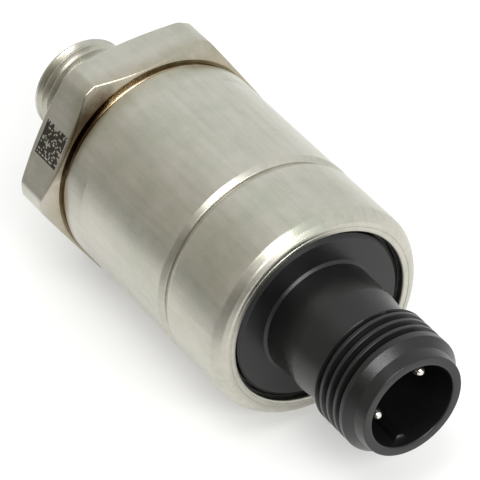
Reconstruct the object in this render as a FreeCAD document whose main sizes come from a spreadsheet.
import FreeCAD, Part
import os
import Sketcher

# Pressure transmitter with a hexagon port, a two-piece steel housing and an M12 plug.
# Frame: the axis is X, pointing out of the plug; the origin is where the threaded stud meets
# the hexagon; +Z is square to one hexagon flat, so the part lies on the opposite flat.
doc = FreeCAD.newDocument("PressureTransmitter")
Vector = FreeCAD.Vector

# ---------------------------------------------------------------- driving dimensions (mm, degrees)
sizes = {
    # hexagon and threaded stud
    "hex_flats": (22.0, "across the flats of the hexagon"),
    "hex_length": (4.8, "hexagon, face to face"),
    "corner_turning": (0.37, "turned off each hexagon corner"),
    "face_margin": (0.2, "flat ring of the hexagon faces stops this far inside the flats"),
    "front_bevel": (28.0, "bevel angle on the housing side of the hexagon"),
    "rear_bevel": (18.0, "bevel angle on the stud side of the hexagon"),
    "stud_length": (10.0, "stud, from the hexagon to its tip"),
    "stud_tip_radius": (4.99, "crest radius of the taper thread at the tip"),
    "stud_taper": (0.03125, "radius gained per length, a taper of 1 in 16"),
    "stud_chamfer": (0.7, "chamfer at the tip of the stud"),
    "relief_length": (1.2, "plain relief between thread and hexagon"),
    "relief_depth": (0.45, "relief, below the crest"),
    "bore_radius": (2.0, "pressure bore"),
    "bore_chamfer": (0.4, "chamfer at the mouth of the bore"),
    # housing
    "body_inset": (0.3, "housing surface, inside the hexagon's flats"),
    "wall": (0.8, "housing wall"),
    "slip": (0.05, "radial clearance of parts that slide together"),
    "undercut_length": (0.6, "gap between hexagon and housing"),
    "undercut_depth": (0.5, "gap floor, below the housing surface"),
    "bead_height": (0.2, "weld bead in the gap"),
    "spigot_length": (3.0, "port spigot inside the housing"),
    "spigot_chamfer": (0.3, "lead chamfer of the spigots"),
    "seam_depth": (0.4, "seam groove between the two sleeves"),
    "seam_rear_width": (0.9, "rear shoulder of the seam groove"),
    "seam_front_width": (0.65, "front shoulder of the seam groove"),
    "seam_ease": (0.12, "first, gentle fall of each shoulder"),
    "seam_setback": (4.65, "seam, behind the plug flange"),
    "joint_gap": (1.45, "rear sleeve's spigot ends this far behind the plug flange"),
    "joint_wall": (0.6, "wall of that spigot"),
    "joint_root": (3.8, "thick stretch behind that spigot"),
    "end_chamfer": (0.2, "chamfer on the rear sleeve's edge"),
    "lip_width": (1.87, "rolled lip, from the housing surface to its opening"),
    "lip_thickness": (0.8, "rolled lip"),
    "lip_round": (1.15, "outer rounding of the lip"),
    "lip_chamfer": (0.2, "chamfer round the lip's opening"),
    # sensing cell
    "seat_depth": (3.0, "counterbore that takes the cell"),
    "cell_radius": (5.0, "cell flange"),
    "cell_step": (0.8, "cell neck, below its flange"),
    "cell_length": (6.0, "cell, end to end"),
    "cell_cavity": (2.4, "blind cavity in the cell"),
    "diaphragm": (0.4, "membrane over the cavity"),
    "pad_side": (3.0, "glass pad"),
    "pad_thickness": (0.2, "glass pad"),
    "gauge_side": (2.4, "strain gauge chip"),
    "gauge_thickness": (0.25, "strain gauge chip"),
    # circuit boards
    "carrier_length": (4.6, "ring that carries the rear board"),
    "carrier_bore": (6.2, "hole in that ring"),
    "board_thickness": (1.0, "every board"),
    "board_clearance": (0.1, "round boards inside the liner"),
    "board_window": (2.2, "hole in the rear board for the ribbon"),
    "main_length": (11.0, "long board between the round ones"),
    "main_margin": (1.2, "long board, inside the edge of the round ones"),
    "tab_margin": (1.1, "board tabs, from the long board's side"),
    "tab_gap": (0.63, "board tabs, from the pin holes"),
    "tab_clearance": (0.06, "slot, all round its tab"),
    "liner_wall": (0.45, "insulating liner"),
    "ribbon_thickness": (0.12, "flat ribbon from the gauge"),
    "ribbon_half_width": (0.9, "half the width of the ribbon"),
    "ribbon_offset": (0.75, "ribbon, from the axis"),
    "ribbon_foot": (2.8, "ribbon foot on the rear board"),
    # plug
    "clocking": (30.0, "turn of the plug, so that its fourth pin faces a hexagon corner"),
    "hub_length": (1.0, "hub behind the plug flange"),
    "hub_radius": (4.5, "hub behind the plug flange"),
    "flange_thickness": (3.1, "plug flange"),
    "seal_thickness": (0.5, "flat seal under the lip"),
    "lip_gap": (0.18, "raised face, all round inside the lip opening"),
    "nose_drop": (0.25, "raised face, below the lip's front"),
    "nose_bevel": (0.65, "bevel round the raised face, across"),
    "nose_bevel_depth": (0.4, "bevel round the raised face, deep"),
    "neck_radius": (5.6, "neck at the flange"),
    "neck_length": (7.85, "from the raised face to the thread"),
    "neck_straight": (4.2, "straight stretch of the neck"),
    "neck_waist": (5.13, "neck at the thread"),
    "neck_foot": (0.3, "flare at the foot of the neck"),
    "plug_thread_radius": (5.95, "crest of the M12 thread"),
    "plug_thread_length": (4.3, "M12 thread with its end bevel"),
    "plug_thread_bevel": (0.45, "bevel at the back of the thread"),
    "lead_length": (0.8, "bevel at the front of the thread"),
    "collar_length": (1.2, "plain collar in front of the thread"),
    "collar_radius": (5.25, "collar, at the thread"),
    "rim_radius": (5.08, "collar, at the rim"),
    "socket_radius": (4.2, "inside of the shroud"),
    "socket_depth": (8.5, "rim to socket floor"),
    "key_radius": (0.55, "half-round key on the shroud wall"),
    "key_setback": (0.9, "key, below the rim"),
    "key_turn": (135.0, "key, from the fourth pin"),
    "pin_radius": (0.5, "contact pin"),
    "pin_circle": (2.6, "radius of the circle of pins"),
    "pin_setback": (1.8, "pin tips, below the rim"),
    "pin_tip_round": (0.35, "rounding of the pin tips"),
    "pin_clearance": (0.02, "hole, all round its pin"),
    "pin_tail_gap": (0.15, "pin tails, inside the front board's rear face"),
}
# Parts on the long board: shares of its length and half width, then length, width and height.
board_parts = {
    "conditioning_chip": (0.34, 0.0, 5.0, 5.0, 1.0),
    "output_chip": (0.55, -0.2, 4.0, 5.0, 1.2),
    "board_capacitor_1": (0.78, -0.55, 1.3, 2.0, 1.2),
    "board_capacitor_2": (0.78, 0.0, 1.3, 2.0, 1.2),
    "board_capacitor_3": (0.78, 0.55, 1.3, 2.0, 1.2),
    "board_diode": (0.55, 0.62, 3.6, 1.8, 1.1),
}
part_words = ("along_ratio", "aside_ratio", "long", "wide", "tall")
parts_below = ("output_chip", "board_diode")
for part_name, numbers in board_parts.items():
    for word, number in zip(part_words, numbers):
        sizes[f"{part_name}_{word}"] = (number, f"{part_name}, {word}")

sheet = doc.addObject("Spreadsheet::Sheet", "Sizes")
for row, (alias, (value, note)) in enumerate(sizes.items(), start=1):
    sheet.set(f"A{row}", note)
    sheet.set(f"B{row}", str(value))
    sheet.setAlias(f"B{row}", alias)
doc.recompute()

# ---------------------------------------------------------------- stations along the axis
# Each is an expression over the sheet, so a changed size moves all that stands on it.
sleeve_back = "(Sizes.hex_length + Sizes.undercut_length)"
spigot_end = f"({sleeve_back} + Sizes.spigot_length)"
cell_seat = f"({spigot_end} - Sizes.seat_depth)"
cell_end = f"({cell_seat} + Sizes.cell_length)"
gauge_seat = f"({cell_end} + Sizes.pad_thickness)"
gauge_top = f"({gauge_seat} + Sizes.gauge_thickness)"
rear_board = f"({spigot_end} + Sizes.carrier_length)"
main_back = f"({rear_board} + Sizes.board_thickness)"
main_front = f"({main_back} + Sizes.main_length)"
hub_back = f"({main_front} + Sizes.board_thickness)"
flange_back = f"({hub_back} + Sizes.hub_length)"
flange_front = f"({flange_back} + Sizes.flange_thickness)"
lip_back = f"({flange_front} + Sizes.seal_thickness)"
lip_front = f"({lip_back} + Sizes.lip_thickness)"
nose_front = f"({lip_front} - Sizes.nose_drop)"
thread_back = f"({nose_front} + Sizes.neck_length)"
thread_front = f"({thread_back} + Sizes.plug_thread_length)"
lead_front = f"({thread_front} + Sizes.lead_length)"
rim = f"({lead_front} + Sizes.collar_length)"
socket_floor = f"({rim} - Sizes.socket_depth)"

seam = f"({flange_back} - Sizes.seam_setback)"
joint_front = f"({flange_back} - Sizes.joint_gap)"
joint_back = f"({seam} - Sizes.joint_root)"

# Radii that more than one piece shares.
body_radius = "(Sizes.hex_flats / 2 - Sizes.body_inset)"
lip_radius = f"({body_radius} - Sizes.lip_width)"
nose_radius = f"({lip_radius} - Sizes.lip_gap)"
blank_radius = "(Sizes.hex_flats / 2 / cos(30deg) - Sizes.corner_turning)"
face_radius = "(Sizes.hex_flats / 2 - Sizes.face_margin)"
housing_bore = f"({body_radius} - Sizes.wall)"
inner_fit = f"({housing_bore} - Sizes.slip)"
joint_bore = f"({inner_fit} - Sizes.joint_wall)"
liner_outer = f"({joint_bore} - Sizes.slip)"
liner_inner = f"({liner_outer} - Sizes.liner_wall)"
board_radius = f"({liner_inner} - Sizes.board_clearance)"
main_half_width = f"({board_radius} - Sizes.main_margin)"
tab_outer = f"({main_half_width} - Sizes.tab_margin)"
tab_inner = "(Sizes.pin_circle + Sizes.pin_radius + Sizes.pin_clearance + Sizes.tab_gap)"


# ---------------------------------------------------------------- helpers
match_tolerance = 0.0001


def value_of(expression):
    """Number that an expression over the sheet gives now."""
    result = sheet.evalExpression(expression)
    return float(getattr(result, "Value", result))


def new_body(name, turned=False):
    """PartDesign body with its own label; a turned body shares the plug's clocking."""
    body = doc.addObject("PartDesign::Body", name)
    body.Label = name
    if turned:
        body.Placement = FreeCAD.Placement(Vector(), FreeCAD.Rotation(Vector(1, 0, 0), 1))
        body.setExpression("Placement.Rotation.Angle", "Sizes.clocking")
    return body


def new_sketch(body, name, plane, station=None):
    """Sketch on one of the body's own origin planes, moved along its normal to a station."""
    sketch = body.newObject("Sketcher::SketchObject", name)
    origin_plane = [item for item in body.Origin.OriginFeatures if item.Role == plane][0]
    sketch.AttachmentSupport = (origin_plane, "")
    sketch.MapMode = "FlatFace"
    if station:
        sketch.setExpression("AttachmentOffset.Base.z", station)
    return sketch


def pin_down(sketch, geometry, point, across, up):
    """Fix one sketch point by two distances that follow the sheet."""
    for kind, expression in (("DistanceX", across), ("DistanceY", up)):
        index = sketch.addConstraint(
            Sketcher.Constraint(kind, -1, 1, geometry, point, value_of(expression)))
        sketch.setExpression(f"Constraints[{index}]", expression)


def add_outline(sketch, corners):
    """Closed outline of straight lines through corners given as pairs of expressions."""
    spots = [Vector(value_of(across), value_of(up), 0) for across, up in corners]
    first = sketch.GeometryCount
    count = len(corners)
    for index in range(count):
        sketch.addGeometry(Part.LineSegment(spots[index], spots[(index + 1) % count]), False)
    for index in range(count):
        following = first + (index + 1) % count
        sketch.addConstraint(Sketcher.Constraint("Coincident", first + index, 2, following, 1))
    for index, (across, up) in enumerate(corners):
        pin_down(sketch, first + index, 1, across, up)


def add_circle(sketch, radius, across="0", up="0"):
    """Circle whose radius and centre follow the sheet."""
    centre = Vector(value_of(across), value_of(up), 0)
    circle = sketch.addGeometry(Part.Circle(centre, Vector(0, 0, 1), value_of(radius)), False)
    index = sketch.addConstraint(Sketcher.Constraint("Radius", circle, value_of(radius)))
    sketch.setExpression(f"Constraints[{index}]", radius)
    pin_down(sketch, circle, 3, across, up)


def add_box_outline(sketch, across_from, across_to, up_from, up_to):
    """Rectangle between two pairs of expressions."""
    add_outline(sketch, [(across_from, up_from), (across_to, up_from),
                         (across_to, up_to), (across_from, up_to)])


def revolve(body, name, corners):
    """Solid of revolution about X from an outline of (station, radius) corners."""
    sketch = new_sketch(body, name + "Profile", "XZ_Plane")
    add_outline(sketch, corners)
    feature = body.newObject("PartDesign::Revolution", name)
    feature.Profile = sketch
    feature.ReferenceAxis = (sketch, ["H_Axis"])
    feature.Angle = 360
    doc.recompute()
    return feature


def pad(body, sketch, name, length, midplane=False):
    """Pad a sketch by a length that follows the sheet."""
    feature = body.newObject("PartDesign::Pad", name)
    feature.Profile = sketch
    feature.setExpression("Length", length)
    feature.Midplane = midplane
    doc.recompute()
    return feature


def cut_forward(body, sketch, name, length):
    """Pocket that runs along +X from its sketch, and must take material away."""
    before = body.Shape.Volume
    feature = body.newObject("PartDesign::Pocket", name)
    feature.Profile = sketch
    feature.setExpression("Length", length)
    feature.Reversed = True
    doc.recompute()
    assert body.Shape.Volume < before, f"{name} cuts nothing"
    return feature


def round_edge(body, name, radius, spots):
    """Fillet the circular edges that lie at the given (station, radius) spots."""
    base = body.Tip
    wanted = [(value_of(station), value_of(reach)) for station, reach in spots]
    names = []
    for index, edge in enumerate(base.Shape.Edges, start=1):
        if not isinstance(edge.Curve, Part.Circle):
            continue
        for station, reach in wanted:
            at_station = abs(edge.Curve.Center.x - station) < match_tolerance
            if at_station and abs(edge.Curve.Radius - reach) < match_tolerance:
                names.append(f"Edge{index}")
    assert names, f"{name} finds no edge"
    feature = body.newObject("PartDesign::Fillet", name)
    feature.Base = (base, names)
    feature.setExpression("Radius", radius)
    doc.recompute()
    return feature


# ---------------------------------------------------------------- pressure port
# One turned piece: taper-threaded stud, hexagon, weld gap, spigot and seat for the cell.
port = new_body("pressure_port")
stud_root = "-Sizes.relief_length"
crest_at_root = ("(Sizes.stud_tip_radius + (Sizes.stud_length - Sizes.relief_length"
                 " - Sizes.relief_depth) * Sizes.stud_taper)")
relief_radius = f"({crest_at_root} - Sizes.relief_depth)"
gap_floor = f"({body_radius} - Sizes.undercut_depth)"
bead_crest = "Sizes.hex_length + Sizes.undercut_length / 2"
revolve(port, "PortBlank", [
    ("-Sizes.stud_length", "Sizes.bore_radius + Sizes.bore_chamfer"),
    ("-Sizes.stud_length", "Sizes.stud_tip_radius - Sizes.stud_chamfer"),
    ("-Sizes.stud_length + Sizes.stud_chamfer",
     "Sizes.stud_tip_radius + Sizes.stud_chamfer * Sizes.stud_taper"),
    (f"{stud_root} - Sizes.relief_depth", crest_at_root),
    (stud_root, relief_radius),
    ("0", relief_radius),
    ("0", face_radius),
    (f"({blank_radius} - {face_radius}) * tan(Sizes.rear_bevel * 1deg)", blank_radius),
    (f"Sizes.hex_length - ({blank_radius} - {face_radius}) * tan(Sizes.front_bevel * 1deg)",
     blank_radius),
    ("Sizes.hex_length", face_radius),
    ("Sizes.hex_length", gap_floor),
    (bead_crest, f"{gap_floor} + Sizes.bead_height"),
    (sleeve_back, gap_floor),
    (sleeve_back, inner_fit),
    (f"{spigot_end} - Sizes.spigot_chamfer", inner_fit),
    (spigot_end, f"{inner_fit} - Sizes.spigot_chamfer"),
    (spigot_end, "Sizes.cell_radius + Sizes.slip"),
    (cell_seat, "Sizes.cell_radius + Sizes.slip"),
    (cell_seat, "Sizes.bore_radius"),
    ("-Sizes.stud_length + Sizes.bore_chamfer", "Sizes.bore_radius"),
])
hex_cut = new_sketch(port, "HexagonCut", "YZ_Plane")
half_flats = "Sizes.hex_flats / 2"
half_side = "Sizes.hex_flats / 2 * tan(30deg)"
corner = "Sizes.hex_flats / 2 / cos(30deg)"
add_outline(hex_cut, [
    (corner, "0"), (half_side, half_flats), (f"-{half_side}", half_flats),
    (f"-{corner}", "0"), (f"-{half_side}", f"-{half_flats}"), (half_side, f"-{half_flats}"),
])
add_circle(hex_cut, "Sizes.hex_flats")
cut_forward(port, hex_cut, "HexagonFlats", "Sizes.hex_length")

# ---------------------------------------------------------------- sensing cell
cell = new_body("sensor_cell")
cell_neck = "Sizes.cell_radius - Sizes.cell_step"
revolve(cell, "CellBody", [
    (cell_seat, "Sizes.cell_cavity"),
    (cell_seat, "Sizes.cell_radius"),
    (spigot_end, "Sizes.cell_radius"),
    (spigot_end, cell_neck),
    (cell_end, cell_neck),
    (cell_end, "0"),
    (f"{cell_end} - Sizes.diaphragm", "0"),
    (f"{cell_end} - Sizes.diaphragm", "Sizes.cell_cavity"),
])

for name, side, station, thickness in (
        ("glass_pad", "Sizes.pad_side", cell_end, "Sizes.pad_thickness"),
        ("gauge_chip", "Sizes.gauge_side", gauge_seat, "Sizes.gauge_thickness")):
    body = new_body(name, turned=True)
    outline = new_sketch(body, name + "_outline", "YZ_Plane", station)
    add_box_outline(outline, f"-{side} / 2", f"{side} / 2", f"-{side} / 2", f"{side} / 2")
    pad(body, outline, name + "_pad", thickness)

# The ribbon rises from the gauge through the board's window and folds onto the board.
ribbon = new_body("gauge_ribbon", turned=True)
ribbon_path = new_sketch(ribbon, "RibbonPath", "XZ_Plane")
ribbon_outer = "Sizes.ribbon_offset + Sizes.ribbon_thickness"
add_outline(ribbon_path, [
    (gauge_top, "Sizes.ribbon_offset"),
    (f"{main_back} + Sizes.ribbon_thickness", "Sizes.ribbon_offset"),
    (f"{main_back} + Sizes.ribbon_thickness", "Sizes.ribbon_offset + Sizes.ribbon_foot"),
    (main_back, "Sizes.ribbon_offset + Sizes.ribbon_foot"),
    (main_back, ribbon_outer),
    (gauge_top, ribbon_outer),
])
pad(ribbon, ribbon_path, "RibbonStrip", "2 * Sizes.ribbon_half_width", midplane=True)

# ---------------------------------------------------------------- carrier ring and liner
carrier = new_body("carrier_ring")
revolve(carrier, "CarrierRing", [
    (spigot_end, "Sizes.carrier_bore"),
    (spigot_end, inner_fit),
    (rear_board, inner_fit),
    (rear_board, "Sizes.carrier_bore"),
])

liner = new_body("insulating_liner")
revolve(liner, "LinerTube", [
    (rear_board, liner_inner), (rear_board, liner_outer),
    (flange_back, liner_outer), (flange_back, liner_inner),
])


# ---------------------------------------------------------------- boards
def add_tab_slots(sketch):
    """Two slots that take the tabs of the long board."""
    height = "(Sizes.board_thickness / 2 + Sizes.tab_clearance)"
    near = f"({tab_inner} - Sizes.tab_clearance)"
    far = f"({tab_outer} + Sizes.tab_clearance)"
    add_box_outline(sketch, near, far, f"-{height}", height)
    add_box_outline(sketch, f"-{far}", f"-{near}", f"-{height}", height)


rear_disc = new_body("sensor_board", turned=True)
rear_outline = new_sketch(rear_disc, "RearBoardOutline", "YZ_Plane", rear_board)
add_circle(rear_outline, board_radius)
add_circle(rear_outline, "Sizes.board_window")
add_tab_slots(rear_outline)
pad(rear_disc, rear_outline, "RearBoard", "Sizes.board_thickness")

# Three pins stand on a circle of four stations; the second station stays empty.
pin_turns = {"contact_pin_1": 90.0, "contact_pin_3": 270.0, "contact_pin_4": 0.0}
front_disc = new_body("terminal_board", turned=True)
front_outline = new_sketch(front_disc, "FrontBoardOutline", "YZ_Plane", main_front)
add_circle(front_outline, board_radius)
add_tab_slots(front_outline)
pin_hole = "Sizes.pin_radius + Sizes.pin_clearance"
for turn in pin_turns.values():
    add_circle(front_outline, pin_hole, f"-Sizes.pin_circle * sin({turn}deg)",
               f"Sizes.pin_circle * cos({turn}deg)")
pad(front_disc, front_outline, "FrontBoard", "Sizes.board_thickness")

main_board = new_body("main_board", turned=True)
main_outline = new_sketch(main_board, "MainBoardOutline", "XY_Plane")
tab_back = f"({main_back} - Sizes.board_thickness)"
tab_front = f"({main_front} + Sizes.board_thickness)"
upper_half = [
    (main_front, tab_inner), (tab_front, tab_inner), (tab_front, tab_outer),
    (main_front, tab_outer), (main_front, main_half_width),
    (main_back, main_half_width), (main_back, tab_outer),
    (tab_back, tab_outer), (tab_back, tab_inner), (main_back, tab_inner),
]
lower_half = [(across, f"-{up}") for across, up in reversed(upper_half)]
add_outline(main_outline, upper_half + lower_half)
pad(main_board, main_outline, "MainBoard", "Sizes.board_thickness", midplane=True)

# Each part lies on the board's upper or lower face.
for name in board_parts:
    body = new_body(name, turned=True)
    half_long = f"Sizes.{name}_long / 2"
    half_wide = f"Sizes.{name}_wide / 2"
    level = "Sizes.board_thickness / 2"
    if name in parts_below:
        level = f"-Sizes.board_thickness / 2 - Sizes.{name}_tall"
    outline = new_sketch(body, name + "_outline", "XY_Plane", level)
    middle = f"{main_back} + Sizes.{name}_along_ratio * Sizes.main_length"
    centre = f"Sizes.{name}_aside_ratio * {main_half_width}"
    add_box_outline(outline, f"{middle} - {half_long}", f"{middle} + {half_long}",
                    f"{centre} - {half_wide}", f"{centre} + {half_wide}")
    pad(body, outline, name + "_pad", f"Sizes.{name}_tall")

# ---------------------------------------------------------------- plug
# One moulding: hub, flange, raised nose, waisted neck, M12 thread, collar and shroud.
plug = new_body("connector_body", turned=True)
revolve(plug, "PlugMoulding", [
    (hub_back, "0"),
    (hub_back, "Sizes.hub_radius"),
    (flange_back, "Sizes.hub_radius"),
    (flange_back, inner_fit),
    (flange_front, inner_fit),
    (flange_front, nose_radius),
    (f"{nose_front} - Sizes.nose_bevel_depth", nose_radius),
    (nose_front, f"{nose_radius} - Sizes.nose_bevel"),
    (nose_front, "Sizes.neck_radius + Sizes.neck_foot"),
    (f"{nose_front} + Sizes.neck_foot", "Sizes.neck_radius"),
    (f"{nose_front} + Sizes.neck_straight", "Sizes.neck_radius"),
    (thread_back, "Sizes.neck_waist"),
    (f"{thread_back} + Sizes.plug_thread_bevel", "Sizes.plug_thread_radius"),
    (thread_front, "Sizes.plug_thread_radius"),
    (lead_front, "Sizes.collar_radius"),
    (rim, "Sizes.rim_radius"),
    (rim, "Sizes.socket_radius"),
    (socket_floor, "Sizes.socket_radius"),
    (socket_floor, "0"),
])
key_sketch = new_sketch(plug, "KeyOutline", "YZ_Plane", socket_floor)
add_circle(key_sketch, "Sizes.key_radius", "-Sizes.socket_radius * sin(Sizes.key_turn * 1deg)",
           "Sizes.socket_radius * cos(Sizes.key_turn * 1deg)")
pad(plug, key_sketch, "CodingKey", "Sizes.socket_depth - Sizes.key_setback")
pin_sketch = new_sketch(plug, "PinHoles", "YZ_Plane", hub_back)
for turn in pin_turns.values():
    add_circle(pin_sketch, pin_hole, f"-Sizes.pin_circle * sin({turn}deg)",
               f"Sizes.pin_circle * cos({turn}deg)")
cut_forward(plug, pin_sketch, "PinBores", f"{socket_floor} - {hub_back}")

for name, turn in pin_turns.items():
    pin = new_body(name, turned=True)
    direction = f"(Sizes.clocking + {turn})"
    pin.setExpression("Placement.Rotation.Angle", direction)
    pin.setExpression("Placement.Base.y", f"-Sizes.pin_circle * sin({direction} * 1deg)")
    pin.setExpression("Placement.Base.z", f"Sizes.pin_circle * cos({direction} * 1deg)")
    tip = f"({rim} - Sizes.pin_setback)"
    revolve(pin, name + "_shaft", [
        (f"{main_front} + Sizes.pin_tail_gap", "0"),
        (f"{main_front} + Sizes.pin_tail_gap", "Sizes.pin_radius"),
        (tip, "Sizes.pin_radius"),
        (tip, "0"),
    ])
    round_edge(pin, name + "_tip", "Sizes.pin_tip_round", [(tip, "Sizes.pin_radius")])

# ---------------------------------------------------------------- seal and housing sleeves
seal = new_body("lip_seal")
revolve(seal, "SealRing", [
    (flange_front, f"{nose_radius} + Sizes.slip"), (flange_front, inner_fit),
    (lip_back, inner_fit), (lip_back, f"{nose_radius} + Sizes.slip"),
])

rear_sleeve = new_body("rear_sleeve")
seam_floor = f"({body_radius} - Sizes.seam_depth)"
revolve(rear_sleeve, "RearTube", [
    (sleeve_back, housing_bore),
    (sleeve_back, f"{body_radius} - Sizes.end_chamfer"),
    (f"{sleeve_back} + Sizes.end_chamfer", body_radius),
    (f"{seam} - Sizes.seam_rear_width", body_radius),
    (f"{seam} - Sizes.seam_rear_width / 2", f"{body_radius} - Sizes.seam_ease"),
    (seam, seam_floor),
    (seam, inner_fit),
    (f"{joint_front} - Sizes.spigot_chamfer", inner_fit),
    (joint_front, f"{inner_fit} - Sizes.spigot_chamfer"),
    (joint_front, joint_bore),
    (joint_back, joint_bore),
    (f"{joint_back} - ({housing_bore} - {joint_bore})", housing_bore),
])

# The rolled rim of the lip is turned as three short chords of its rounding.
front_sleeve = new_body("front_sleeve")
roll_back = f"({lip_front} - Sizes.lip_round)"
roll_floor = f"({body_radius} - Sizes.lip_round)"
revolve(front_sleeve, "FrontCan", [
    (seam, housing_bore),
    (seam, seam_floor),
    (f"{seam} + Sizes.seam_front_width / 2", f"{body_radius} - Sizes.seam_ease"),
    (f"{seam} + Sizes.seam_front_width", body_radius),
    (roll_back, body_radius),
    (f"{roll_back} + Sizes.lip_round * sin(30deg)", f"{roll_floor} + Sizes.lip_round * cos(30deg)"),
    (f"{roll_back} + Sizes.lip_round * sin(60deg)", f"{roll_floor} + Sizes.lip_round * cos(60deg)"),
    (lip_front, roll_floor),
    (lip_front, f"{lip_radius} + Sizes.lip_chamfer"),
    (f"{lip_front} - Sizes.lip_chamfer", lip_radius),
    (lip_back, lip_radius),
    (lip_back, housing_bore),
])

# ---------------------------------------------------------------- check and write
doc.recompute()
for item in doc.Objects:
    state = set(item.State)
    assert not state & {"Invalid", "Error"}, f"{item.Label} failed: {item.State}"
nodes = [item for item in doc.Objects if item.TypeId == "PartDesign::Body"]
for node in nodes:
    assert not node.Shape.isNull() and node.Shape.isValid(), f"{node.Label} is not sound"
    assert len(node.Shape.Solids) == 1, f"{node.Label} is not one solid"

os.makedirs("parts", exist_ok=True)
for node in nodes:
    node.Shape.exportStep(f"parts/{node.Label}.step")
    print(node.Label, round(node.Shape.Volume, 2))
